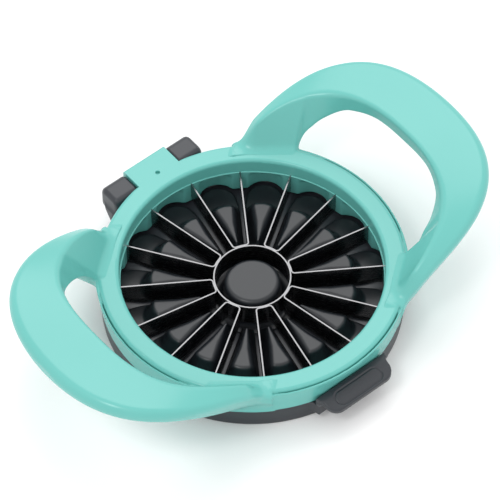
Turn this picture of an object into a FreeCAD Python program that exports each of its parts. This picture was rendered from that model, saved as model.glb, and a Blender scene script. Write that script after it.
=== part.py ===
# Apple slicer wedger press: a hinged cutting frame over a pusher base.
# Frame of the part: millimetres, +Z up, z = 0 on the table under the base,
# origin at the centre of the base, +X along the two handles, +Y the hinge side,
# -Y the thumb tab side.
import FreeCAD, Part
import os
import math
from FreeCAD import Vector as V

os.makedirs("parts", exist_ok=True)

# ------------------------------------------------------------------ driving sizes
N_BLADE = 16                 # cutting edges, made of eight bent strips
STEP_DEG = 360.0 / N_BLADE

# base tray
RIM_R_OUT = 56.4             # outer radius of the grey rim
RIM_R_IN = 54.0
RIM_TOP = 9.0
RIM_EDGE = 1.0               # rounded lower edge
FLOOR_BOT = 1.0
FLOOR_TOP = 2.4
PAD_TOP = 4.0                # raised petals between the blade slots
PAD_GAP = 1.0                # petal edge to blade plane
PAD_R_IN = 16.4
PAD_LOBE_C = 44.5            # round outer end of each petal
PAD_LOBE_R = 6.9
FINGER_TOP = 10.0
FINGER_TIP_R = 20.3
FINGER_END_R = 37.0
FINGER_HALF_W = 3.15
KNOB_R_TOP = 8.9
KNOB_R_BASE = 11.0
KNOB_TOP = 12.2

# hinge
HINGE_Y = 59.7
HINGE_Z = 15.5
KNUCKLE_H = 5.2              # half height of the rounded-square knuckle
KNUCKLE_C = 2.8              # its corner radius
KNUCKLE_X0 = 9.8
KNUCKLE_X1 = 20.7
SWING_R = 6.4                # clear radius around the pin in the frame
PIN_R = 1.5
PIN_RUN = 0.05               # radial running clearance in the swinging tab
TAB_HALF = 9.5
TAB_Y = 65.0
TAB_TOP = 21.4

# thumb tab
THUMB_Y = -65.0
THUMB_HALF = 15.1
THUMB_ROOT = 17.0
THUMB_T = 2.4

# cutting frame
FRAME_BOT = 9.2              # lowest edge of the teal wall
FRAME_TOP = 20.6
WALL_R_BOT = 56.85
WALL_R_TOP = 58.1
SEAT_R = 57.45               # bore that takes the clamp ring
CARRIER_R_OUT = 53.3
CARRIER_R_IN = 49.0
CARRIER_BOT = 4.4
BLADE_PLANE = 14.8
FLUTE_C = 44.9               # flutes between the bosses
FLUTE_R = 7.5
FLUTE_Z = 10.6
FLUTE_TOP = 13.8
CLAMP_R_IN = 49.1
CLAMP_R_OUT = 57.0
CLAMP_TOP = 21.4
CLAMP_SEAT = 18.4            # flange of the clamp ring rests here
SEAT_R_IN = 54.4
CREASE_D = 53.3              # chord where the handle root meets the clamp ring
CREASE_DIR = 52.0
PAD_END = 57.0               # where each handle root stops, degrees from the X axis

# blades
BLADE_T = 0.5
BLADE_H = 10.0
BLADE_BEVEL = 2.2
BLADE_R_END = 50.9
CORE_R = 14.2
CORE_T = 0.5
BEND_R = 1.2

O = V(0, 0, 0)
ZAX = V(0, 0, 1)


# ------------------------------------------------------------------ helpers
def face_rz(pts):
    """Planar face in the XZ plane from (r, z) points."""
    w = Part.makePolygon([V(r, 0, z) for r, z in pts] + [V(pts[0][0], 0, pts[0][1])])
    return Part.Face(w)


def revolve(pts, rads=None):
    if rads is None:
        return face_rz(pts).revolve(O, ZAX, 360)
    w = wire_rounded(pts, rads, lambda p: V(p[0], 0, p[1]))
    return Part.Face(w).revolve(O, ZAX, 360)


def round_corner(p0, p1, p2, rad):
    """Tangent points and mid point of an arc that rounds the corner p1."""
    a = (p0[0] - p1[0], p0[1] - p1[1])
    b = (p2[0] - p1[0], p2[1] - p1[1])
    la = math.hypot(*a)
    lb = math.hypot(*b)
    a = (a[0] / la, a[1] / la)
    b = (b[0] / lb, b[1] / lb)
    c = max(-1.0, min(1.0, a[0] * b[0] + a[1] * b[1]))
    half = math.acos(c) / 2
    t = min(rad / math.tan(half), 0.46 * la, 0.46 * lb)
    rad = t * math.tan(half)
    q0 = (p1[0] + a[0] * t, p1[1] + a[1] * t)
    q2 = (p1[0] + b[0] * t, p1[1] + b[1] * t)
    m = (a[0] + b[0], a[1] + b[1])
    lm = math.hypot(*m)
    m = (m[0] / lm, m[1] / lm)
    d = rad / math.sin(half) - rad
    qm = (p1[0] + m[0] * d, p1[1] + m[1] * d)
    return q0, qm, q2


def wire_rounded(pts, rads, place):
    """Closed wire of lines and corner arcs. place maps (u, v) to a vector."""
    n = len(pts)
    cs = []
    for i in range(n):
        if rads[i] > 0:
            cs.append(round_corner(pts[i - 1], pts[i], pts[(i + 1) % n], rads[i]))
        else:
            cs.append((pts[i], None, pts[i]))
    edges = []
    for i in range(n):
        q0, qm, q2 = cs[i]
        if qm is not None:
            edges.append(Part.Arc(place(q0), place(qm), place(q2)).toShape())
        nxt = cs[(i + 1) % n][0]
        edges.append(Part.makeLine(place(q2), place(nxt)))
    return Part.Wire(edges)


def prism(pts, rads, z0, z1):
    w = wire_rounded(pts, rads, lambda p: V(p[0], p[1], z0))
    return Part.Face(w).extrude(V(0, 0, z1 - z0))


def prism_x(pts, rads, x0, x1):
    """Prism along X from a (y, z) outline."""
    w = wire_rounded(pts, rads, lambda p: V(x0, p[0], p[1]))
    return Part.Face(w).extrude(V(x1 - x0, 0, 0))


def cyl_x(rad, x0, x1, y=HINGE_Y, z=HINGE_Z):
    return Part.makeCylinder(rad, x1 - x0, V(x0, y, z), V(1, 0, 0))


def turned(shape, deg):
    s = shape.copy()
    s.rotate(O, ZAX, deg)
    return s


def mirrored(shape, normal):
    return shape.mirror(O, normal)


def interp(xs, ys, x):
    """Monotone cubic through the table."""
    n = len(xs)
    if x <= xs[0]:
        return ys[0]
    if x >= xs[-1]:
        return ys[-1]
    h = [xs[i + 1] - xs[i] for i in range(n - 1)]
    d = [(ys[i + 1] - ys[i]) / h[i] for i in range(n - 1)]
    m = [0.0] * n
    m[-1] = d[-1]
    for i in range(1, n - 1):
        if d[i - 1] * d[i] > 0:
            w1 = 2 * h[i] + h[i - 1]
            w2 = h[i] + 2 * h[i - 1]
            m[i] = (w1 + w2) / (w1 / d[i - 1] + w2 / d[i])
    i = 0
    while x > xs[i + 1]:
        i += 1
    t = (x - xs[i]) / h[i]
    return ((2 * t ** 3 - 3 * t ** 2 + 1) * ys[i] + (t ** 3 - 2 * t ** 2 + t) * h[i] * m[i]
            + (-2 * t ** 3 + 3 * t ** 2) * ys[i + 1] + (t ** 3 - t ** 2) * h[i] * m[i + 1])


def save(name, shape):
    shape = shape.removeSplitter()
    ok = shape.isValid()
    print(name, "solids", len(shape.Solids), "valid", ok, "vol %.1f" % shape.Volume)
    shape.exportStep("parts/" + name + ".step")


# ------------------------------------------------------------------ base tray
rim = revolve([(RIM_R_IN, 0), (RIM_R_OUT, 0), (RIM_R_OUT, RIM_TOP), (RIM_R_IN, RIM_TOP)],
              [0, RIM_EDGE, 0.3, 0])
floor = Part.makeCylinder(RIM_R_IN + 0.2, FLOOR_TOP - FLOOR_BOT, V(0, 0, FLOOR_BOT))
tray = rim.fuse(floor)

# stiffening ring and ribs under the floor, and the foot ring in the middle
foot = revolve([(18.0, 0), (20.0, 0), (20.0, FLOOR_BOT + 0.2), (18.0, FLOOR_BOT + 0.2)])
tray = tray.fuse(foot)

# hinge knuckles: two barrels with a web down to the rim
for s in (1, -1):
    x0, x1 = (KNUCKLE_X0, KNUCKLE_X1) if s > 0 else (-KNUCKLE_X1, -KNUCKLE_X0)
    k = KNUCKLE_H
    barrel = prism_x([(HINGE_Y - k, HINGE_Z - k), (HINGE_Y + k, HINGE_Z - k),
                      (HINGE_Y + k, HINGE_Z + k), (HINGE_Y - k, HINGE_Z + k)],
                     [KNUCKLE_C] * 4, x0, x1)
    ends = [e for e in barrel.Edges if abs(e.BoundBox.XMin - e.BoundBox.XMax) < 1e-6
            and abs(abs(e.BoundBox.XMin) - KNUCKLE_X1) < 1e-3]
    inner = [e for e in barrel.Edges if abs(e.BoundBox.XMin - e.BoundBox.XMax) < 1e-6
             and abs(abs(e.BoundBox.XMin) - KNUCKLE_X0) < 1e-3]
    barrel = barrel.makeFillet(1.3, ends)
    web = prism_x([(51.0, 3.0), (55.2, 3.0), (61.5, 11.2), (61.5, 13.5), (56.9, 14.0),
                   (56.9, RIM_TOP), (51.0, RIM_TOP)], [0, 2.0, 3.0, 0, 0, 0, 0], x0, x1)
    keep_in = Part.makeCylinder(RIM_R_IN, 40, V(0, 0, -5))
    web = web.cut(keep_in)
    tray = tray.fuse(barrel.fuse(web))
tray = tray.cut(cyl_x(PIN_R, -KNUCKLE_X1 + 2.0, KNUCKLE_X1 - 2.0))

# thumb tab: upstand behind the teal wall and a thin shelf that slopes outward
upstand = prism([(-15.1, -54.6), (15.1, -54.6), (15.6, -58.4), (-15.6, -58.4)], [0] * 4, 4.0, 12.9)
upstand = upstand.cut(Part.makeCylinder(RIM_R_IN, 5.1, V(0, 0, 3.9)))
upstand = upstand.cut(Part.makeBox(60, 10, 20, V(-30, -56.2, RIM_TOP)))
shelf_plan = prism([(-THUMB_ROOT, -54.2), (THUMB_ROOT, -54.2), (THUMB_HALF, -57.4),
                    (14.7, THUMB_Y), (-14.7, THUMB_Y),
                    (-THUMB_HALF, -57.4)], [0, 0, 3.0, 4.6, 4.6, 3.0], 0, 20)
shelf_side = prism_x([(-54.0, 13.05), (-58.0, 12.75), (THUMB_Y - 0.3, 11.1), (THUMB_Y - 0.3, 8.9),
                      (-58.0, 10.3), (-54.0, 10.6)], [0, 0, 1.0, 1.0, 0, 0], -20, 20)
shelf = shelf_plan.common(shelf_side)
shelf = shelf.cut(Part.makeBox(60, 10, 20, V(-30, -56.2, 0)))
tray = tray.fuse(upstand).fuse(shelf)

# shallow pill recess on the tab, left bare
tilt = math.degrees(math.atan2(12.75 - 11.1, 7.4))
p = Part.makeBox(15.0, 6.0, 4.0, V(-7.5, -3.0, 0)).fuse(
    Part.makeCylinder(3.0, 4.0, V(-7.5, 0, 0))).fuse(Part.makeCylinder(3.0, 4.0, V(7.5, 0, 0)))
p = p.removeSplitter()
p.rotate(O, V(1, 0, 0), tilt)
p.translate(V(0, -61.3, 12.0 - 0.35))
tray = tray.cut(p)
save("base_tray", tray)

# ------------------------------------------------------------------ pusher petals and fingers
HALF = math.radians(STEP_DEG / 2)


def petal_edge_y(r, gap):
    """Half width at distance x=r along the petal axis, gap mm off the blade plane."""
    return r * math.tan(HALF) - gap / math.cos(HALF)


def petal():
    x0 = PAD_R_IN
    x1 = 45.0
    pad = prism([(x0, -petal_edge_y(x0, PAD_GAP)), (54.0, -petal_edge_y(54.0, PAD_GAP)),
                 (54.0, petal_edge_y(54.0, PAD_GAP)), (x0, petal_edge_y(x0, PAD_GAP))],
                [0] * 4, FLOOR_TOP, PAD_TOP)
    lobe = Part.makeCylinder(PAD_LOBE_R, 10, V(PAD_LOBE_C, 0, -1))
    body = Part.makeBox(PAD_LOBE_C - 2.0, 40, 10, V(0, -20, -1))
    pad = pad.common(lobe.fuse(body))

    def fin_wire(z, tip, tw, end, hw, bulge):
        a = V(tip, -tw, z)
        b = V(end, -hw, z)
        m = V(end + bulge, 0, z)
        c = V(end, hw, z)
        d = V(tip, tw, z)
        return Part.Wire([Part.makeLine(a, b), Part.Arc(b, m, c).toShape(),
                          Part.makeLine(c, d), Part.makeLine(d, a)])

    low = fin_wire(PAD_TOP - 0.2, PAD_R_IN + 0.1, petal_edge_y(PAD_R_IN + 0.1, PAD_GAP + 0.1),
                   39.6, petal_edge_y(39.6, PAD_GAP + 0.5), 1.9)
    top = fin_wire(FINGER_TOP, FINGER_TIP_R, 0.35, FINGER_END_R - 0.6, FINGER_HALF_W, 0.6)
    fin = Part.makeLoft([low, top], True, True)
    try:
        edges = [e for e in fin.Edges if all(abs(v.Z - FINGER_TOP) < 1e-3 for v in e.Vertexes)
                 and e.Length > 3]
        fin2 = fin.makeFillet(0.45, edges)
        if fin2.isValid():
            fin = fin2
    except Exception as err:
        print("finger fillet left out:", err)
    return pad.fuse(fin)


one = petal().removeSplitter()
fingers = []
for k in range(N_BLADE):
    fingers.append(turned(one, k * STEP_DEG))
hub = Part.makeCylinder(PAD_R_IN + 1.2, PAD_TOP - FLOOR_TOP, V(0, 0, FLOOR_TOP)).cut(
    Part.makeCylinder(KNOB_R_BASE + 0.0, PAD_TOP - FLOOR_TOP, V(0, 0, FLOOR_TOP)))
hub = hub.cut(Part.makeCylinder(PAD_R_IN + 2, 10, V(0, 0, 3.2)))
arr = hub.fuse(fingers)
save("pusher_fingers", arr)

knob = revolve([(0, FLOOR_TOP), (KNOB_R_BASE, FLOOR_TOP), (KNOB_R_BASE, 4.2),
                (KNOB_R_TOP + 1.5, KNOB_TOP), (0, KNOB_TOP)], [0, 0, 0.8, 2.1, 0])
save("core_pusher", knob)

pin = cyl_x(PIN_R, -KNUCKLE_X1 + 2.0, KNUCKLE_X1 - 2.0)
save("hinge_pin", pin)

# ------------------------------------------------------------------ clamp ring
clamp = revolve([
    (CLAMP_R_IN, BLADE_PLANE), (51.4, BLADE_PLANE), (51.4, CLAMP_SEAT), (CLAMP_R_OUT, CLAMP_SEAT),
    (CLAMP_R_OUT, CLAMP_TOP), (CLAMP_R_IN, CLAMP_TOP)], [0, 0, 0, 0, 1.4, 1.45])

# hinge tab: a flat plate that carries on from the crown of the ring, over a barrel on the pin
plate = prism_x([(53.0, CLAMP_SEAT), (TAB_Y, CLAMP_SEAT), (TAB_Y, TAB_TOP), (53.0, TAB_TOP)],
                [0, 0, 1.2, 0], -TAB_HALF, TAB_HALF)
plate = plate.cut(Part.makeCylinder(52.5, 40, V(0, 0, 0)))
hub_x = prism_x([(56.2, 13.4), (HINGE_Y - 2.5, 10.6), (HINGE_Y + 2.0, 10.6), (TAB_Y, 14.0),
                 (TAB_Y, CLAMP_SEAT + 0.2), (56.2, CLAMP_SEAT + 0.2)],
                [0, 2.5, 3.6, 2.6, 0, 0], -TAB_HALF, TAB_HALF)
clamp = clamp.fuse([plate, hub_x])
clamp = clamp.cut(cyl_x(PIN_R + PIN_RUN, -TAB_HALF - 2, TAB_HALF + 2))
dimple = Part.makeCone(0.75, 0.95, 1.2, V(0.1, 56.2, TAB_TOP - 1.1))
clamp = clamp.cut(dimple)

# corner cut-outs that take the handle roots
cu = math.cos(math.radians(CREASE_DIR))
su = math.sin(math.radians(CREASE_DIR))


def corner_block(d, z0, z1, grow=0.0):
    """Prism beyond the chord at distance d, bounded at the tab side by the pad end."""
    tx, ty = su, -cu
    c = (cu * d, su * d)
    a = (c[0] + tx * 26.0, c[1] + ty * 26.0)
    t = (PAD_END + grow) - CREASE_DIR
    b = (d / math.cos(math.radians(t)) * math.cos(math.radians(PAD_END + grow)),
         d / math.cos(math.radians(t)) * math.sin(math.radians(PAD_END + grow)))
    f = (62.0 * math.cos(math.radians(PAD_END + grow)), 62.0 * math.sin(math.radians(PAD_END + grow)))
    g = (40.0, 60.0)
    h = (60.0, 45.0)
    return prism([a, b, f, g, h], [0] * 5, z0, z1)


def quad(shape):
    """The shape and its mirror images in X and Y."""
    m = mirrored(shape, V(1, 0, 0))
    a = [shape, m]
    return a + [mirrored(q, V(0, 1, 0)) for q in a]


cutters = quad(corner_block(CREASE_D - 0.2, CLAMP_SEAT - 0.1, 30, 0.2))
clamp = clamp.cut(cutters)
for s in (1, -1):
    x0, x1 = (TAB_HALF, KNUCKLE_X1 + 0.5) if s > 0 else (-KNUCKLE_X1 - 0.5, -TAB_HALF)
    clamp = clamp.cut(cyl_x(SWING_R, x0, x1))
    clamp = clamp.cut(Part.makeBox(x1 - x0, 12, 8, V(x0, 55.4, HINGE_Z)))
save("clamp_ring", clamp)

# ------------------------------------------------------------------ blade carrier
carrier = revolve([(CARRIER_R_IN, CARRIER_BOT), (CARRIER_R_OUT, CARRIER_BOT),
                   (CARRIER_R_OUT, BLADE_PLANE), (CARRIER_R_IN, BLADE_PLANE)])


def pocket():
    """Round flute between two bosses: a cylinder that closes in a cone under the ledge."""
    c = V(FLUTE_C * math.cos(HALF), FLUTE_C * math.sin(HALF), CARRIER_BOT - 1)
    low = Part.makeCylinder(FLUTE_R, FLUTE_Z - CARRIER_BOT + 1, c)
    top = Part.makeCone(FLUTE_R, CARRIER_R_IN - FLUTE_C, FLUTE_TOP - FLUTE_Z, V(c.x, c.y, FLUTE_Z))
    return low.fuse(top).removeSplitter()


pk = pocket()
carrier = carrier.cut([turned(pk, STEP_DEG * (k + 0.5)) for k in range(N_BLADE)])
# seats that take the blade ends
seat = Part.makeBox(BLADE_R_END - CARRIER_R_IN + 0.6, BLADE_T, BLADE_H + 0.4,
                    V(CARRIER_R_IN - 0.5, -BLADE_T / 2, BLADE_PLANE - BLADE_H))
carrier = carrier.cut([turned(seat, STEP_DEG * (k + 0.5)) for k in range(N_BLADE)])
save("blade_carrier", carrier)

# ------------------------------------------------------------------ handle frame
ring = revolve([(CARRIER_R_OUT, FRAME_BOT), (WALL_R_BOT, FRAME_BOT), (WALL_R_TOP, FRAME_TOP),
                (SEAT_R, FRAME_TOP), (SEAT_R, 19.4), (CLAMP_R_OUT, 19.4),
                (CLAMP_R_OUT, CLAMP_SEAT), (SEAT_R_IN, CLAMP_SEAT), (SEAT_R_IN, BLADE_PLANE),
                (CARRIER_R_OUT, BLADE_PLANE)], [0, 0.35, 0.3, 0, 0, 0, 0, 0, 0, 0])

TH_T = [0, 10, 20, 30, 34, 37, 40, 45, 50, 54, 57]
IT_R = [72.0, 73.0, 72.4, 70.9, 68.9, 67.2, 65.4, 62.4, 59.3, 56.6, 54.6]
IT_Z = [43.9, 43.8, 42.4, 40.1, 39.1, 38.1, 36.9, 33.8, 30.0, 26.2, 22.6]
OT_R = [95.4, 95.8, 92.9, 86.1, 82.0, 78.6, 75.2, 69.7, 64.6, 60.9, 59.0]
OT_Z = [43.9, 44.1, 43.8, 41.7, 39.9, 38.2, 36.2, 32.7, 28.8, 25.0, 21.8]
OB_R = [94.9, 95.2, 92.0, 84.9, 80.0, 76.2, 72.2, 66.6, 61.6, 59.4, 58.8]
OB_Z = [36.5, 36.7, 36.4, 34.5, 32.0, 29.8, 27.2, 23.3, 19.3, 16.6, 15.2]
TH_B = [0, 10, 20, 27, 30, 33]
IB_R = [72.1, 73.5, 71.6, 66.6, 63.4, 59.4]
IB_Z = [36.1, 36.3, 34.9, 30.6, 27.8, 22.8]
TH_W = [33, 34.4, 36, 38, 41, 44, 47, 50, 54, 57]
W_Z = [22.0, 16.5, 11.6, 9.6, 9.4, 9.9, 11.4, 13.2, 14.1, 14.3]


def wall_r(z):
    return WALL_R_BOT + (z - FRAME_BOT) * (WALL_R_TOP - WALL_R_BOT) / (FRAME_TOP - FRAME_BOT)


def section(th):
    """Six corners (r, z) of the handle section at th degrees from the X axis."""
    it = (interp(TH_T, IT_R, th), interp(TH_T, IT_Z, th))
    ot = (interp(TH_T, OT_R, th), interp(TH_T, OT_Z, th))
    ob = (interp(TH_T, OB_R, th), interp(TH_T, OB_Z, th))
    if th <= 33:
        ib = (interp(TH_B, IB_R, th), interp(TH_B, IB_Z, th))

        def toward(p, q, d):
            l = math.hypot(q[0] - p[0], q[1] - p[1])
            return (p[0] + (q[0] - p[0]) * d / l, p[1] + (q[1] - p[1]) * d / l)
        w = toward(ib, ob, 1.3)
        ct = toward(ib, it, 1.3)
        cb = ((ib[0] * 2 + w[0] + ct[0]) / 4, (ib[1] * 2 + w[1] + ct[1]) / 4)
    else:
        rc = CREASE_D / math.cos(math.radians(CREASE_DIR - th)) + 0.05
        zw = interp(TH_W, W_Z, th)
        w = (wall_r(zw) - 1.0, zw)
        ct = (rc, 21.3)
        cb = (rc, CLAMP_SEAT if th > 35 else 19.2)
    return [it, ot, ob, w, cb, ct]


def radii(th):
    k = max(0.0, min(1.0, (th - 30) / 27.0))
    return [1.6 - 0.9 * k, 3.9 - 2.7 * k, 3.2 - 2.2 * k, 0, 0, 0]


def sec_wire(th, sign=1):
    a = math.radians(th * sign)
    c, s = math.cos(a), math.sin(a)
    return wire_rounded(section(th), radii(th), lambda p: V(p[0] * c, p[0] * s, p[1]))


mid_th = [-33, -30, -25, -20, -15, -10, -5, 0, 5, 10, 15, 20, 25, 30, 33]
mid = Part.makeLoft([sec_wire(abs(t), 1 if t >= 0 else -1) for t in mid_th], True, False)
root_th = [33, 34.4, 36, 38, 41, 44, 47, 50, 53, 57]
root = Part.makeLoft([sec_wire(t) for t in root_th], True, True)
print("mid", mid.isValid(), mid.Volume, "root", root.isValid(), root.Volume)
handle = mid.fuse([root, mirrored(root, V(0, 1, 0))])
print("handle", handle.isValid(), len(handle.Solids), handle.Volume)

frame = ring.fuse([handle, mirrored(handle, V(1, 0, 0))])
print("frame", frame.isValid(), len(frame.Solids), frame.Volume)

# room for the hinge tab and the knuckles
frame = frame.cut(Part.makeBox(2 * TAB_HALF + 0.2, 14, 6, V(-TAB_HALF - 0.1, 52.4, CLAMP_SEAT)))
frame = frame.cut(Part.makeBox(2 * TAB_HALF + 0.2, 14, 20, V(-TAB_HALF - 0.1, 56.15, 8.0)))
# room for the knuckles
for s in (1, -1):
    x0, x1 = (TAB_HALF, KNUCKLE_X1 + 0.5) if s > 0 else (-KNUCKLE_X1 - 0.5, -TAB_HALF)
    frame = frame.cut(cyl_x(SWING_R, x0, x1))
    frame = frame.cut(Part.makeBox(x1 - x0, 12, 8, V(x0, 55.4, HINGE_Z)))
# flat behind the thumb tab
flat = Part.makeBox(2 * 17.6, 6, 18.0 - 8.0, V(-17.6, -61.7, 8.0))
frame = frame.cut(flat)
save("handle_frame", frame)

# ------------------------------------------------------------------ blades
core = revolve([(CORE_R - CORE_T / 2, BLADE_PLANE - BLADE_H), (CORE_R + CORE_T / 2, BLADE_PLANE - BLADE_H + 0.9),
                (CORE_R + CORE_T / 2, BLADE_PLANE), (CORE_R - CORE_T / 2, BLADE_PLANE)])
save("core_ring", core)


def strip(a_deg, b_deg):
    """Bent strip: leg along a, bridge wrapped on the core ring, leg along b."""
    r0 = CORE_R + CORE_T / 2 + BLADE_T / 2 + 0.02
    rho = BEND_R
    d = math.sqrt((r0 + rho) ** 2 - rho ** 2)
    turn = math.atan2(rho, d)
    aa, bb = math.radians(a_deg), math.radians(b_deg)
    s = 1.0 if bb > aa else -1.0

    def at(ang, r):
        return (r * math.cos(ang), r * math.sin(ang))

    def leg(ang, side, off):
        """Centre line of a leg, moved off to the side by off: outer end, fillet start, fillet
        middle and fillet end on the ring."""
        ux, uy = math.cos(ang), math.sin(ang)
        vx, vy = -uy * side, ux * side
        cx, cy = ux * d + vx * rho, uy * d + vy * rho
        p0 = (ux * BLADE_R_END + vx * off, uy * BLADE_R_END + vy * off)
        p1 = (ux * d + vx * off, uy * d + vy * off)
        rr = rho - off
        lc = math.hypot(cx, cy)
        p3 = (cx - cx / lc * rr, cy - cy / lc * rr)
        mx, my = (p1[0] + p3[0]) / 2 - cx, (p1[1] + p3[1]) / 2 - cy
        lm = math.hypot(mx, my)
        p2 = (cx + mx / lm * rr, cy + my / lm * rr)
        return p0, p1, p2, p3

    def outline(t, z):
        w = lambda p: V(p[0], p[1], z)
        h = t / 2
        mid = (aa + bb) / 2
        ia, ib = leg(aa, s, h), leg(bb, -s, h)
        oa, ob = leg(aa, s, -h), leg(bb, -s, -h)
        e = [Part.makeLine(w(ia[0]), w(ia[1])), Part.Arc(w(ia[1]), w(ia[2]), w(ia[3])).toShape(),
             Part.Arc(w(ia[3]), w(at(mid, r0 + h)), w(ib[3])).toShape(),
             Part.Arc(w(ib[3]), w(ib[2]), w(ib[1])).toShape(), Part.makeLine(w(ib[1]), w(ib[0])),
             Part.makeLine(w(ib[0]), w(ob[0])),
             Part.makeLine(w(ob[0]), w(ob[1])), Part.Arc(w(ob[1]), w(ob[2]), w(ob[3])).toShape(),
             Part.Arc(w(ob[3]), w(at(mid, r0 - h)), w(oa[3])).toShape(),
             Part.Arc(w(oa[3]), w(oa[2]), w(oa[1])).toShape(), Part.makeLine(w(oa[1]), w(oa[0])),
             Part.makeLine(w(oa[0]), w(ia[0]))]
        return Part.Wire(e)

    zb = BLADE_PLANE - BLADE_H
    up = Part.Face(outline(BLADE_T, zb + BLADE_BEVEL)).extrude(V(0, 0, BLADE_H - BLADE_BEVEL))
    low = Part.makeLoft([outline(0.08, zb), outline(BLADE_T, zb + BLADE_BEVEL)], True, True)
    return up.fuse(low)


for k in range(8):
    a = 78.75 - 45.0 * k
    save("blade_pair_%d" % (k + 1), strip(a, a - STEP_DEG))
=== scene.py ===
import bpy
import math
import numpy as np
import openvdb as vdb
from mathutils import Matrix, Vector


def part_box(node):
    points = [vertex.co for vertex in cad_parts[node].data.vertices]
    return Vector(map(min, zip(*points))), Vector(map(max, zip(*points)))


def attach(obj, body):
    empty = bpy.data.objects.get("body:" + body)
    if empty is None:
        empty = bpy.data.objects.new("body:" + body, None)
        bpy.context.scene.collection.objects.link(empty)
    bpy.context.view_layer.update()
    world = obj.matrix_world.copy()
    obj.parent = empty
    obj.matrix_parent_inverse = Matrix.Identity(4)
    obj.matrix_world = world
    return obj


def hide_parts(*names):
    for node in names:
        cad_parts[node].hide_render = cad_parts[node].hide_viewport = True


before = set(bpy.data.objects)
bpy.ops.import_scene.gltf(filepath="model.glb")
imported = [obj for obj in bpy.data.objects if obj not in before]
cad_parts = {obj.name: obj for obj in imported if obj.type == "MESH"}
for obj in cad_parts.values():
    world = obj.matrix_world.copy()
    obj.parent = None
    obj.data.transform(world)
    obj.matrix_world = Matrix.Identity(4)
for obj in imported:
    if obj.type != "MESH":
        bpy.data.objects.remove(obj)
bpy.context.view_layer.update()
MM = 0.001


# ---------------------------------------------------------------- materials
def new_mat(name):
    m = bpy.data.materials.new(name)
    m.use_nodes = True
    nt = m.node_tree
    nt.nodes.clear()
    out = nt.nodes.new("ShaderNodeOutputMaterial")
    bsdf = nt.nodes.new("ShaderNodeBsdfPrincipled")
    nt.links.new(bsdf.outputs[0], out.inputs[0])
    return m, nt, bsdf


def node(nt, kind, **props):
    n = nt.nodes.new(kind)
    for k, v in props.items():
        if k in n.inputs:
            n.inputs[k].default_value = v
        else:
            setattr(n, k, v)
    return n


def srgb(r, g, b):
    def f(c):
        c /= 255.0
        return c / 12.92 if c <= 0.04045 else ((c + 0.055) / 1.055) ** 2.4
    return (f(r), f(g), f(b), 1.0)


def teal_material(name="teal_plastic"):
    m, nt, b = new_mat(name)
    tc = node(nt, "ShaderNodeTexCoord")
    big = node(nt, "ShaderNodeTexNoise", Scale=38.0, Detail=3.0, Roughness=0.5)
    nt.links.new(tc.outputs["Object"], big.inputs["Vector"])
    ramp = node(nt, "ShaderNodeMix", data_type="RGBA")
    ramp.inputs["A"].default_value = (0.120, 0.440, 0.400, 1.0)
    ramp.inputs["B"].default_value = (0.130, 0.462, 0.422, 1.0)
    nt.links.new(big.outputs["Fac"], ramp.inputs["Factor"])
    nt.links.new(ramp.outputs["Result"], b.inputs["Base Color"])
    fine = node(nt, "ShaderNodeTexNoise", Scale=1400.0, Detail=2.0)
    nt.links.new(tc.outputs["Object"], fine.inputs["Vector"])
    rr = node(nt, "ShaderNodeMapRange")
    rr.inputs["To Min"].default_value = 0.20
    rr.inputs["To Max"].default_value = 0.29
    nt.links.new(fine.outputs["Fac"], rr.inputs["Value"])
    nt.links.new(rr.outputs["Result"], b.inputs["Roughness"])
    bump = node(nt, "ShaderNodeBump", Strength=0.06, Distance=0.00006)
    nt.links.new(fine.outputs["Fac"], bump.inputs["Height"])
    nt.links.new(bump.outputs["Normal"], b.inputs["Normal"])
    b.inputs["IOR"].default_value = 1.48
    return m


def grey_material(name="grey_plastic", lo=(38, 41, 46), hi=(46, 49, 55), rough=(0.30, 0.42)):
    m, nt, b = new_mat(name)
    tc = node(nt, "ShaderNodeTexCoord")
    fine = node(nt, "ShaderNodeTexNoise", Scale=1700.0, Detail=3.0, Roughness=0.6)
    nt.links.new(tc.outputs["Object"], fine.inputs["Vector"])
    mix = node(nt, "ShaderNodeMix", data_type="RGBA")
    mix.inputs["A"].default_value = srgb(*lo)
    mix.inputs["B"].default_value = srgb(*hi)
    nt.links.new(fine.outputs["Fac"], mix.inputs["Factor"])
    nt.links.new(mix.outputs["Result"], b.inputs["Base Color"])
    rr = node(nt, "ShaderNodeMapRange")
    rr.inputs["To Min"].default_value = rough[0]
    rr.inputs["To Max"].default_value = rough[1]
    nt.links.new(fine.outputs["Fac"], rr.inputs["Value"])
    nt.links.new(rr.outputs["Result"], b.inputs["Roughness"])
    bump = node(nt, "ShaderNodeBump", Strength=0.18, Distance=0.00006)
    nt.links.new(fine.outputs["Fac"], bump.inputs["Height"])
    nt.links.new(bump.outputs["Normal"], b.inputs["Normal"])
    b.inputs["IOR"].default_value = 1.5
    return m


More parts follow.
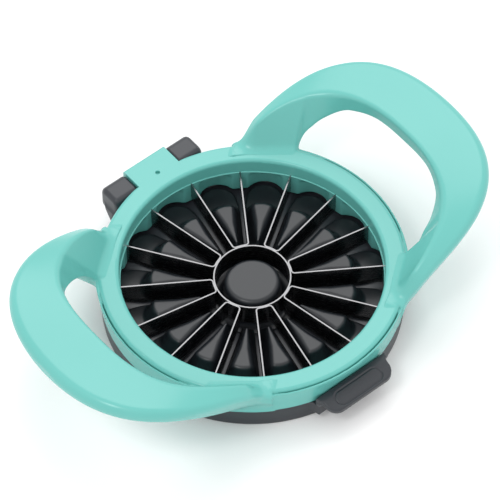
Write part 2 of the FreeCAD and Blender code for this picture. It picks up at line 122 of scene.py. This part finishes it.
def steel_material(name="blade_steel"):
    m, nt, b = new_mat(name)
    tc = node(nt, "ShaderNodeTexCoord")
    mp = node(nt, "ShaderNodeMapping")
    mp.inputs["Scale"].default_value = (300.0, 300.0, 9000.0)
    nt.links.new(tc.outputs["Object"], mp.inputs["Vector"])
    no = node(nt, "ShaderNodeTexNoise", Scale=1.0, Detail=3.0, Roughness=0.6)
    nt.links.new(mp.outputs["Vector"], no.inputs["Vector"])
    mix = node(nt, "ShaderNodeMix", data_type="RGBA")
    mix.inputs["A"].default_value = (0.17, 0.17, 0.175, 1)
    mix.inputs["B"].default_value = (0.25, 0.25, 0.255, 1)
    nt.links.new(no.outputs["Fac"], mix.inputs["Factor"])
    nt.links.new(mix.outputs["Result"], b.inputs["Base Color"])
    rr = node(nt, "ShaderNodeMapRange")
    rr.inputs["To Min"].default_value = 0.18
    rr.inputs["To Max"].default_value = 0.34
    nt.links.new(no.outputs["Fac"], rr.inputs["Value"])
    nt.links.new(rr.outputs["Result"], b.inputs["Roughness"])
    bump = node(nt, "ShaderNodeBump", Strength=0.05, Distance=0.00004)
    nt.links.new(no.outputs["Fac"], bump.inputs["Height"])
    nt.links.new(bump.outputs["Normal"], b.inputs["Normal"])
    b.inputs["Metallic"].default_value = 1.0
    return m


TEAL = teal_material()
GREY = grey_material()
# the same grey plastic made darker: painted shade for the deep hollow inside the cutter, where the knob and
# petals sit in shade
PUSHER_SHADED = grey_material("pusher_plastic_painted_shade", (24, 28, 32), (32, 36, 41), (0.28, 0.38))
STEEL = steel_material()


def paint(obj, mat):
    obj.data.materials.clear()
    obj.data.materials.append(mat)


for n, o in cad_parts.items():
    if n in ("handle_frame", "clamp_ring", "blade_carrier"):
        paint(o, TEAL)
    # the knob takes the darker pusher plastic, which carries painted shade
    elif n == "core_pusher":
        paint(o, PUSHER_SHADED)
    elif n in ("base_tray", "pusher_fingers"):
        paint(o, GREY)
    else:
        paint(o, STEEL)



# ---------------------------------------------------------------- shape tools
# All shapes are worked out in millimetres and written in metres.
def pchip(xs, ys, x):
    """Monotone cubic through a table, level at its first point."""
    xs = np.asarray(xs, float)
    ys = np.asarray(ys, float)
    h = np.diff(xs)
    d = np.diff(ys) / h
    m = np.zeros(len(xs))
    m[-1] = d[-1]
    for i in range(1, len(xs) - 1):
        if d[i - 1] * d[i] > 0:
            w1 = 2 * h[i] + h[i - 1]
            w2 = h[i] + 2 * h[i - 1]
            m[i] = (w1 + w2) / (w1 / d[i - 1] + w2 / d[i])
    x = np.clip(x, xs[0], xs[-1])
    i = np.clip(np.searchsorted(xs, x, side="right") - 1, 0, len(xs) - 2)
    t = (x - xs[i]) / h[i]
    return ((2 * t ** 3 - 3 * t ** 2 + 1) * ys[i] + (t ** 3 - 2 * t ** 2 + t) * h[i] * m[i]
            + (-2 * t ** 3 + 3 * t ** 2) * ys[i + 1] + (t ** 3 - t ** 2) * h[i] * m[i + 1])


def step(a, b, x):
    t = np.clip((x - a) / (b - a), 0, 1)
    return t * t * (3 - 2 * t)


def rmax(a, b, r):
    """Intersection with a round edge."""
    u = np.maximum(a + r, 0)
    v = np.maximum(b + r, 0)
    return np.minimum(np.maximum(a, b), -r) + np.sqrt(u * u + v * v)


def smin(a, b, k):
    """Union with a soft valley."""
    h = np.maximum(k - np.abs(a - b), 0) / k
    return np.minimum(a, b) - h * h * k * 0.25


def smax(a, b, k):
    return -smin(-a, -b, k)


def surface(name, field, origin, cell, box=None, smooth=True):
    """Closed quad mesh of the zero level of a sampled field."""
    band = 3 * cell
    grid = vdb.FloatGrid(background=band)
    grid.copyFromArray(np.clip(field, -band, band).astype(np.float32), tolerance=0.0)
    pts, quads = grid.convertToQuads(isovalue=0.0)
    pts = np.asarray(pts, np.float64) * cell + np.asarray(origin)
    quads = np.asarray(quads, np.int64)
    a, b, c = (pts[quads[:, i]] for i in (0, 1, 2))
    d = pts[quads[:, 3]]
    vol = (np.einsum("ij,ij->i", a, np.cross(b, c)) + np.einsum("ij,ij->i", a, np.cross(c, d))).sum()
    if vol < 0:
        quads = quads[:, ::-1]
    if box is not None:
        pts = np.clip(pts, np.asarray(box[0]) * 1000, np.asarray(box[1]) * 1000)
    return mesh_object(name, pts, quads, smooth)


def mesh_object(name, pts, faces, smooth=True):
    me = bpy.data.meshes.new(name)
    pts = np.asarray(pts, np.float64) * MM
    if isinstance(faces, np.ndarray):
        n, k = faces.shape
        me.vertices.add(len(pts))
        me.vertices.foreach_set("co", pts.astype(np.float32).ravel())
        me.loops.add(n * k)
        me.loops.foreach_set("vertex_index", faces.astype(np.int32).ravel())
        me.polygons.add(n)
        me.polygons.foreach_set("loop_start", np.arange(0, n * k, k, dtype=np.int32))
        me.update(calc_edges=True)
    else:
        me.from_pydata([tuple(p) for p in pts], [], faces)
    me.validate()
    if smooth:
        me.polygons.foreach_set("use_smooth", np.ones(len(me.polygons), dtype=bool))
    me.update()
    o = bpy.data.objects.new(name, me)
    bpy.context.scene.collection.objects.link(o)
    return o


def mirror_x(f):
    return np.concatenate([f[:0:-1], f], 0)


# ---------------------------------------------------------------- handle frame
WALL0, WALL1, BOT, TOP = 56.85, 58.1, 9.2, 20.6
CREASE_D, CREASE_DIR, PAD_END = 53.3, 52.0, 57.0
HY, HZ, SWING = 59.7, 15.5, 6.4

TH_T = np.array([0, 10, 20, 30, 34, 37, 40, 45, 50, 54, 57.0])
IT_R = [72.0, 73.0, 72.4, 70.9, 68.9, 67.2, 65.4, 62.4, 59.3, 56.6, 54.6]
IT_Z = [43.9, 43.8, 42.4, 40.1, 39.1, 38.1, 36.9, 33.8, 30.0, 26.2, 22.6]
OT_R = [95.4, 95.8, 92.9, 86.1, 82.0, 78.6, 75.2, 69.7, 64.6, 60.9, 59.0]
OT_Z = [43.9, 44.1, 43.8, 41.7, 39.9, 38.2, 36.2, 32.7, 28.8, 25.0, 21.8]
OB_R = [94.9, 95.2, 92.0, 84.9, 80.0, 76.2, 72.2, 66.6, 61.6, 59.4, 58.8]
OB_Z = [36.5, 36.7, 36.4, 34.5, 32.0, 29.8, 27.2, 23.3, 19.3, 16.6, 15.2]
TH_B = [0, 10, 20, 27, 30, 33, 34.4, 36, 38, 41, 44, 47, 50, 54, 57, 61]
B_Z = [36.2, 36.2, 34.9, 30.6, 27.8, 22.8, 16.5, 11.6, 9.6, 9.4, 9.9, 11.4, 13.2, 14.1, 14.3, 14.0]
B_R = [72.8, 73.2, 71.5, 66.8, 63.4, 59.4]


def wall_r(z):
    return WALL0 + (z - BOT) * (WALL1 - WALL0) / (TOP - BOT)


def even_curve(ys, th):
    """The table eased to an even curve, carried on past its end."""
    c = np.polyfit((TH_T / 57.0) ** 2, ys, 4)
    v = np.polyval(c, (np.minimum(th, 57.0) / 57.0) ** 2)
    e = np.polyval(c, 1.0) - np.polyval(c, (56.0 / 57.0) ** 2)
    return v + np.maximum(th - 57.0, 0) * e


def handle_field(cell):
    nx, ny = int(96.5 / cell) + 2, int(66.0 / cell) + 2
    z0 = 8.4
    nz = int((45.4 - z0) / cell) + 2
    x = (np.arange(nx) * cell)[:, None]
    y = (np.arange(ny) * cell)[None, :]
    z = (z0 + np.arange(nz) * cell)[None, None, :].astype(np.float32)
    r = np.hypot(x, y)
    th = np.degrees(np.arctan2(y, np.maximum(x, 1e-9)))

    it = even_curve(IT_R, th), even_curve(IT_Z, th)
    ot = even_curve(OT_R, th), even_curve(OT_Z, th)
    ob = even_curve(OB_R, th), even_curve(OB_Z, th)
    f = 1.0 - 0.85 * step(50.0, 58.5, th)
    ot = 58.05 + (ot[0] - 58.05) * f, 20.9 + (ot[1] - 20.9) * f
    ob = 57.7 + (ob[0] - 57.7) * f, ob[1]
    it = it[0], 21.2 + (it[1] - 21.2) * (1.0 - 0.9 * step(48.5, 58.0, th))
    bz = pchip(TH_B, B_Z, th)
    br_tab = B_R + [wall_r(v) - 1.0 for v in B_Z[6:]]
    b = pchip(TH_B, br_tab, th), bz
    rc_tab = [CREASE_D / math.cos(math.radians(CREASE_DIR - t)) + 0.05 for t in TH_B[6:]]
    cz_tab = [36.2, 36.2, 34.9, 30.6, 27.8, 22.8] + [21.3] * 10
    c = pchip(TH_B, B_R + rc_tab, th), pchip(TH_B, cz_tab, th)

    def plane(p, q, flip=1.0):
        """Signed distance to the line p-q in the (r, z) slice, as a + b z."""
        dr, dz = q[0] - p[0], q[1] - p[1]
        L = np.hypot(dr, dz) * flip
        nr, nz_ = -dz / L, dr / L
        a = (r - p[0]) * nr - p[1] * nz_
        return (a[:, :, None] + nz_[:, :, None] * z).astype(np.float32)

    top = plane(it, ot)
    outer = plane(ot, ob)
    under = plane(ob, b)
    inner = plane(c, it)
    k = np.clip((th - 28) / 29.0, 0, 1)[:, :, None].astype(np.float32)
    u = np.clip((r - it[0]) / np.maximum(ot[0] - it[0], 1.0), 0, 1)[:, :, None].astype(np.float32)
    A = rmax(top, outer, 3.9 - 2.9 * k)
    B = rmax(under, inner, 1.3 - 0.7 * k)
    H = rmax(A, B, (1.6 - 0.7 * k) * (1 - u) + (3.2 - 2.2 * k) * u)
    del top, outer, under, inner, A, B
    R = r[:, :, None].astype(np.float32)
    T = th[:, :, None].astype(np.float32)
    lim = np.where(z > 18.4, 51.7, 53.5).astype(np.float32)
    H = np.maximum(H, lim - R)
    H = np.maximum(H, 9.25 - z)
    H = np.maximum(H, (T - 61.0) * 1.0)

    # pad distance, positive outside the handle root
    cu, su = math.cos(math.radians(CREASE_DIR)), math.sin(math.radians(CREASE_DIR))
    d = x * cu + y * su
    e = np.maximum(CREASE_D - d, (th - PAD_END) * np.radians(1.0) * r)[:, :, None].astype(np.float32)

    # crown of the ring under the root, level with the clamp ring and sinking into it further out
    crown = rmax(z - 21.4, R - 57.0, 1.4) - 0.02 + 0.5 * step(1.2, 3.4, e)
    crown = np.maximum(crown, 51.7 - R)
    wall = rmax(R - wall_r(z), 9.2 - z, 0.45)
    wall = rmax(wall, z - 20.6, 0.32)
    wall = np.maximum(wall, 53.35 - R)
    ring = np.where(e < 3.6, np.minimum(crown, wall), wall)
    ring = np.maximum(ring, np.where(z > 18.2, 51.7, 53.35) - R)
    F = smin(ring, H, 2.4)
    F = np.maximum(F, np.where(z > 18.35, 51.6, 53.3) - R)

    # seat of the clamp ring, with the fine gap round it
    seat = np.maximum(R - 57.02, 18.4 - z)
    gap = np.maximum(R - 57.42, 19.5 - z)
    bore = np.maximum(R - 54.4, 14.8 - z)
    seat = np.minimum(np.minimum(seat, gap), bore)
    seat = np.maximum(seat, 3.6 - e)
    groove = np.maximum(np.maximum(np.abs(R - 57.2) - 0.24, 19.9 - z), 1.2 - e)
    seat = np.minimum(seat, groove)
    F = np.maximum(F, -seat)

    X = x[:, :, None].astype(np.float32)
    Y = y[:, :, None].astype(np.float32)
    # hinge side
    c1 = np.maximum(np.maximum(X - 9.6, 52.4 - Y), 18.4 - z)
    c2 = np.maximum(X - 9.6, 56.15 - Y)
    c3 = np.maximum(np.abs(X - 15.35) - 5.85, np.sqrt((Y - HY) ** 2 + (z - HZ) ** 2) - SWING)
    c4 = np.maximum(np.maximum(np.abs(X - 15.35) - 5.85, 55.4 - Y), 15.5 - z)
    c6 = np.maximum(57.0 + 1.3 * step(27.5, 36.0, X) - R, np.maximum(9.0 - X, 40.0 - Y))
    c6 = np.maximum(c6, 58.6 - T)
    back = np.maximum(F, -np.minimum(np.minimum(np.minimum(c1, c2), c6), np.minimum(c3, c4)))
    # thumb side
    c5 = np.maximum(np.maximum(X - 17.6, 55.7 - Y), z - 18.0)
    front = np.maximum(F, -c5)
    full = np.concatenate([front[:, :0:-1], back], 1)
    return mirror_x(full), (-(nx - 1) * cell, -(ny - 1) * cell, z0)


field, origin = handle_field(0.37)
frame_shell = surface("handle_frame_shell", field, origin, 0.37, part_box("handle_frame"))
del field
paint(frame_shell, TEAL)
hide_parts("handle_frame")
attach(frame_shell, "cutting_frame")


# ---------------------------------------------------------------- blade carrier with its flutes
def carrier():
    step_a = math.radians(22.5)
    per = 28
    n = 16 * per
    phi = np.arange(n) * (2 * math.pi / n)
    d = (phi + step_a / 2) % step_a - step_a / 2        # angle from the middle of a flute
    root = 7.5 ** 2 - (44.9 * np.sin(d)) ** 2
    flute = 44.9 * np.cos(d) + np.sqrt(np.maximum(root, 0.04))
    flute = np.where(root > 0.04, flute, 44.0)
    base_r = 48.98
    g = 0.5 * (flute + base_r + np.sqrt((flute - base_r) ** 2 + 0.45 ** 2)) - base_r - 0.02
    g = np.maximum(g, 0.0)
    rows = []
    rows.append((np.full(n, 53.25), np.full(n, 14.78)))
    rows.append((np.full(n, 49.05), np.full(n, 14.80)))
    rows.append((np.full(n, 48.82), np.full(n, 14.72)))
    rows.append((np.full(n, 48.74), np.full(n, 14.5)))
    rows.append((np.full(n, 48.80), np.full(n, 14.26)))
    for z in np.concatenate([np.linspace(14.1, 10.0, 22), np.linspace(9.6, 5.2, 12)]):
        b = 1.0 - step(10.6, 14.1, z)
        rows.append((base_r + g * b ** 0.8, np.full(n, z)))
    for t in np.radians([15, 35, 55, 75, 90]):
        rr = 0.45
        rows.append((base_r + g + rr * (1 - np.cos(t)), 4.4 + rr - rr * np.sin(t) + 0 * g))
    rows.append((np.full(n, 53.0), np.full(n, 4.4)))
    rows.append((np.full(n, 53.25), np.full(n, 4.65)))
    m = len(rows)
    pts = np.zeros((m, n, 3))
    for i, (r, z) in enumerate(rows):
        pts[i, :, 0] = r * np.cos(phi)
        pts[i, :, 1] = r * np.sin(phi)
        pts[i, :, 2] = z
    i = np.arange(m)[:, None]
    j = np.arange(n)[None, :]
    i2, j2 = (i + 1) % m, (j + 1) % n
    quads = np.stack([i * n + j, i2 * n + j, i2 * n + j2, i * n + j2], -1).reshape(-1, 4)
    p = pts.reshape(-1, 3)
    a, b, c = p[quads[:, 0]], p[quads[:, 1]], p[quads[:, 2]]
    if np.einsum("ij,ij->i", a, np.cross(b, c)).sum() < 0:
        quads = quads[:, ::-1]
    return mesh_object("blade_carrier_skirt", p, quads)


skirt = carrier()
paint(skirt, TEAL)
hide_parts("blade_carrier")
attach(skirt, "cutting_frame")


# ---------------------------------------------------------------- base tray
def lathe(name, pts, n=256):
    """Closed ring turned from an (r, z) outline."""
    m = len(pts)
    phi = np.arange(n) * (2 * math.pi / n)
    p = np.zeros((m, n, 3))
    for i, (r, z) in enumerate(pts):
        p[i, :, 0] = r * np.cos(phi)
        p[i, :, 1] = r * np.sin(phi)
        p[i, :, 2] = z
    i = np.arange(m)[:, None]
    j = np.arange(n)[None, :]
    q = np.stack([i * n + j, i * n + (j + 1) % n, ((i + 1) % m) * n + (j + 1) % n, ((i + 1) % m) * n + j], -1)
    q = q.reshape(-1, 4)
    p = p.reshape(-1, 3)
    if np.einsum("ij,ij->i", p[q[:, 0]], np.cross(p[q[:, 1]], p[q[:, 2]])).sum() < 0:
        q = q[:, ::-1]
    return mesh_object(name, p, q)


def arc(cx, cz, rad, a0, a1, n=6):
    return [(cx + rad * math.cos(math.radians(a0 + (a1 - a0) * i / n)),
             cz + rad * math.sin(math.radians(a0 + (a1 - a0) * i / n))) for i in range(n + 1)]


def run(a, b, n):
    return [(a[0] + (b[0] - a[0]) * i / n, a[1] + (b[1] - a[1]) * i / n) for i in range(1, n)]


def tray():
    out = arc(55.4, 1.0, 1.0, -90, 0) + run((56.4, 1.0), (56.4, 8.6), 4) + arc(56.0, 8.6, 0.4, 0, 90)
    out += arc(54.4, 8.6, 0.4, 90, 180) + run((54.0, 8.6), (54.0, 3.0), 4) + arc(53.4, 3.0, 0.6, 0, -90)[1:]
    out += run((53.4, 2.4), (1.0, 2.4), 12) + [(0.4, 2.4), (0.4, 1.0)] + run((0.4, 1.0), (18.0, 1.0), 4)
    out += [(18.0, 1.0), (18.05, 0.1), (18.15, 0.0), (19.85, 0.0), (19.95, 0.1), (20.0, 1.0)]
    out += run((20.0, 1.0), (53.6, 1.0), 8) + [(53.6, 1.0), (53.9, 0.8), (54.0, 0.3), (54.2, 0.0)]
    return lathe("base_tray_shell", out, 288)


def give(piece, node_name, body, mat):
    paint(piece, mat)
    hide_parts(node_name)
    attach(piece, body)


give(tray(), "base_tray", "base", GREY)

KX0, KX1, KH, KC = 9.8, 20.7, 5.2, 2.8


def knuckles(cell=0.2):
    x0, y0, z0 = 9.2, 52.0, 2.2
    nx, ny, nz = int(12.6 / cell), int(13.6 / cell), int(19.2 / cell)
    X = (x0 + np.arange(nx) * cell)[:, None, None]
    Y = (y0 + np.arange(ny) * cell)[None, :, None]
    z = (z0 + np.arange(nz) * cell)[None, None, :]
    R = np.sqrt(X * X + Y * Y)
    k = rmax(np.abs(Y - HY) - KH, np.abs(z - HZ) - KH, KC)
    k = rmax(k, X - KX1, 1.9)
    k = rmax(k, KX0 - X, 1.2)
    slope = ((Y - 55.2) * 8.2 - (z - 3.0) * 6.3) / math.hypot(8.2, 6.3)
    web = rmax(slope, Y - 61.5, 3.0)
    web = np.maximum(web, z - 13.0)
    web = np.maximum(web, 2.95 - z)
    web = np.maximum(web, np.where(z > 9.0, 56.9, 50.0) - Y)
    web = rmax(web, X - KX1 - 0.9, 1.2)
    web = rmax(web, KX0 - X, 0.4)
    F = smin(k, web, 2.4)
    F = np.maximum(F, 54.3 - R)
    right = surface("hinge_knuckle_right", F, (x0, y0, z0), cell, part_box("base_tray"))
    left = surface("hinge_knuckle_left", F[::-1], (-(x0 + (nx - 1) * cell), y0, z0), cell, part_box("base_tray"))
    return right, left


for o in knuckles():
    give(o, "base_tray", "base", GREY)


def thumb_tab(cell=0.2):
    nx, ny, nz = int(20.2 / cell), int(13.4 / cell), int(11.4 / cell)
    y0, z0 = -66.0, 2.4
    X = (np.arange(nx) * cell)[:, None, None]
    Y = (y0 + np.arange(ny) * cell)[None, :, None]
    z = (z0 + np.arange(nz) * cell)[None, None, :]
    R = np.sqrt(X * X + Y * Y)
    yy = -Y
    hw = pchip([0, 53.8, 55.6, 57.4, 59.5, 65.4], [19.2, 18.6, 16.6, 15.3, 14.95, 14.75], yy)
    ztop = pchip([0, 54.0, 58.0, 61.5, 65.4], [13.1, 13.05, 12.75, 12.0, 11.05], yy)
    zbot = pchip([0, 54.0, 58.0, 65.4], [10.4, 10.3, 10.0, 8.9], yy)
    tab = rmax(rmax(X - hw, yy - 65.0, 4.6), z - ztop, 0.55)
    tab = rmax(tab, zbot - z, 0.5)
    up = np.maximum(X - 15.6 - 0.2 * (58.2 - yy), yy - 57.6 - 0.0 * X)
    up = np.maximum(up, np.maximum(3.6 - z, z - 12.4))
    F = smin(tab, up, 1.8)
    # the rim swells into the root of the tab and fades out beside it
    rim = np.maximum(np.maximum(R - 56.4, z - 8.95), 3.4 - z) + 0.12 * step(16.5, 19.5, X) + 0.02
    rim = np.maximum(rim, X - 19.6)
    F = smin(F, rim, 1.5)
    F = np.maximum(F, 54.4 - R)
    keep = np.maximum(9.02 - z, -56.25 - Y)
    F = np.maximum(F, -keep)
    # bare oval recess with a fine groove round it
    q = np.sqrt(np.maximum(X - 7.6, 0) ** 2 + ((Y + 61.2) / 0.97) ** 2) - 2.9
    floor_z = ztop - 0.16 * (1 - step(-0.1, 0.1, q)) - 0.30 * np.exp(-(q / 0.22) ** 2)
    F = np.maximum(F, (z - floor_z) * 0.97)
    return surface("thumb_tab_shell", mirror_x(F), (-(nx - 1) * cell, y0, z0), cell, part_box("base_tray"))


give(thumb_tab(), "base_tray", "base", GREY)


# ---------------------------------------------------------------- pusher petals
def petals(cell=0.3):
    x0, z0 = 15.2, 1.8
    nx, ny, nz = int(37.4 / cell), int(9.4 / cell), int(9.2 / cell)
    X = (x0 + np.arange(nx) * cell)[:, None, None]
    Y = (np.arange(ny) * cell)[None, :, None]
    z = (z0 + np.arange(nz) * cell)[None, None, :]
    half = math.radians(11.25)
    side = (Y - X * math.tan(half)) * math.cos(half) + 1.0
    lobe = np.where(X > 44.5, np.hypot(X - 44.5, Y) - 6.9, Y - 6.9)
    pad = np.maximum(rmax(side, lobe, 0.4), 16.4 - X)
    pad = rmax(pad, z - 4.0, 0.5)
    pad = np.maximum(pad, 2.35 - z)
    # ridge: narrow at the tip, wide and rounded at the outer end, with steep sides
    t = np.clip((X - 20.3) / (37.6 - 20.3), 0, 1)
    wt = 0.35 + 4.0 * t ** 1.1
    wb = np.maximum(X * math.tan(half) - 1.0 / math.cos(half) - 0.12, 0.3)
    wb = np.minimum(wb, 6.0)
    v = np.clip((10.0 - z) / 6.2, 0, 1)
    w = wt + (wb - wt) * v ** 1.15
    flank = (Y - w) * 0.93
    end = X - (38.4 + 3.4 * v ** 1.4) + 0.07 * Y * Y
    tip = (20.3 - 3.9 * v) - X
    fin = rmax(flank, z - 10.0 - 0.0 * X, np.minimum(1.7, wt * 0.75))
    fin = rmax(fin, end * 0.9, 1.2)
    fin = np.maximum(fin, tip * 0.85)
    fin = np.maximum(fin, 3.4 - z)
    F = smin(pad, fin, 0.9)
    F = np.maximum(F, side)
    full = np.concatenate([F[:, :0:-1], F], 1)
    one = surface("petal", full, (x0, -(ny - 1) * cell, z0), cell)
    me = one.data
    n = len(me.vertices)
    co = np.empty(n * 3)
    me.vertices.foreach_get("co", co)
    co = co.reshape(-1, 3) * 1000
    k = len(me.polygons)
    idx = np.empty(k * 4, dtype=np.int32)
    me.polygons.foreach_get("vertices", idx)
    idx = idx.reshape(-1, 4)
    bpy.data.objects.remove(one)
    bpy.data.meshes.remove(me)
    allp, allq = [], []
    for i in range(16):
        a = math.radians(22.5 * i)
        c, s_ = math.cos(a), math.sin(a)
        allp.append(np.stack([co[:, 0] * c - co[:, 1] * s_, co[:, 0] * s_ + co[:, 1] * c, co[:, 2]], -1))
        allq.append(idx + n * i)
    return mesh_object("pusher_petals", np.concatenate(allp), np.concatenate(allq))


# the petals and hub take the darker pusher plastic, which carries painted shade
give(petals(), "pusher_fingers", "base", PUSHER_SHADED)
hub = lathe("pusher_hub", [(11.05, 2.4), (17.4, 2.4), (17.6, 2.6), (17.6, 3.0), (17.4, 3.2), (11.05, 3.2)], 128)
give(hub, "pusher_fingers", "base", PUSHER_SHADED)

# ---------------------------------------------------------------- floor, light, camera
def make_floor():
    me = bpy.data.meshes.new("floor")
    s = 3.0
    me.from_pydata([(-s, -s, 0), (s, -s, 0), (s, s, 0), (-s, s, 0)], [], [(0, 1, 2, 3)])
    o = bpy.data.objects.new("floor", me)
    bpy.context.scene.collection.objects.link(o)
    m, nt, b = new_mat("floor_pale")
    tc = node(nt, "ShaderNodeTexCoord")
    no = node(nt, "ShaderNodeTexNoise", Scale=3.0, Detail=2.0)
    nt.links.new(tc.outputs["Object"], no.inputs["Vector"])
    mix = node(nt, "ShaderNodeMix", data_type="RGBA")
    mix.inputs["A"].default_value = (0.90, 0.90, 0.90, 1)
    mix.inputs["B"].default_value = (0.92, 0.92, 0.92, 1)
    nt.links.new(no.outputs["Fac"], mix.inputs["Factor"])
    nt.links.new(mix.outputs["Result"], b.inputs["Base Color"])
    b.inputs["Roughness"].default_value = 0.85
    b.inputs["Specular IOR Level"].default_value = 0.1
    me.materials.append(m)
    return o


make_floor()

world = bpy.data.worlds.new("studio")
bpy.context.scene.world = world
world.use_nodes = True
bg = world.node_tree.nodes["Background"]
bg.inputs[0].default_value = (1.0, 1.0, 1.0, 1)
bg.inputs[1].default_value = 1.14


def area(name, loc, target, size, power, size_y=None):
    d = bpy.data.lights.new(name, "AREA")
    d.energy = power
    d.size = size
    if size_y:
        d.shape = "RECTANGLE"
        d.size_y = size_y
    o = bpy.data.objects.new(name, d)
    bpy.context.scene.collection.objects.link(o)
    o.location = loc
    o.rotation_mode = "QUATERNION"
    o.rotation_quaternion = (Vector(target) - Vector(loc)).to_track_quat("-Z", "Y")
    return o


# camera axes from the fitted view of the photograph
BACK = Vector((-0.3717, -0.4656, 0.8032)).normalized()
RIGHT0 = Vector((0.7815, -0.6239, 0.0)).normalized()
UP0 = BACK.cross(RIGHT0)
ROLL = math.radians(-0.72)
RIGHT = math.cos(ROLL) * RIGHT0 + math.sin(ROLL) * UP0
UP = -math.sin(ROLL) * RIGHT0 + math.cos(ROLL) * UP0
P0 = Vector((0, 0, 0.0148))
CAM = P0 - 0.000855 * RIGHT + 0.00972 * UP + 1.4945 * BACK

cam_data = bpy.data.cameras.new("camera")
cam = bpy.data.objects.new("camera", cam_data)
bpy.context.scene.collection.objects.link(cam)
cam.matrix_world = Matrix(((RIGHT.x, UP.x, BACK.x, CAM.x), (RIGHT.y, UP.y, BACK.y, CAM.y),
                           (RIGHT.z, UP.z, BACK.z, CAM.z), (0, 0, 0, 1)))
cam_data.sensor_width = 36.0
cam_data.lens = 4041.5 / 500 * 36.0
cam_data.clip_start = 0.05
cam_data.clip_end = 20
bpy.context.scene.camera = cam

area("key", (0.42, 0.52, 0.92), (0, 0, 0.02), 0.72, 3.4)
area("edge", (-0.55, -0.10, 0.95), (0, 0, 0.02), 0.22, 1.5)

sc = bpy.context.scene
sc.view_settings.view_transform = "Standard"
sc.view_settings.look = "None"
sc.view_settings.exposure = 0.0
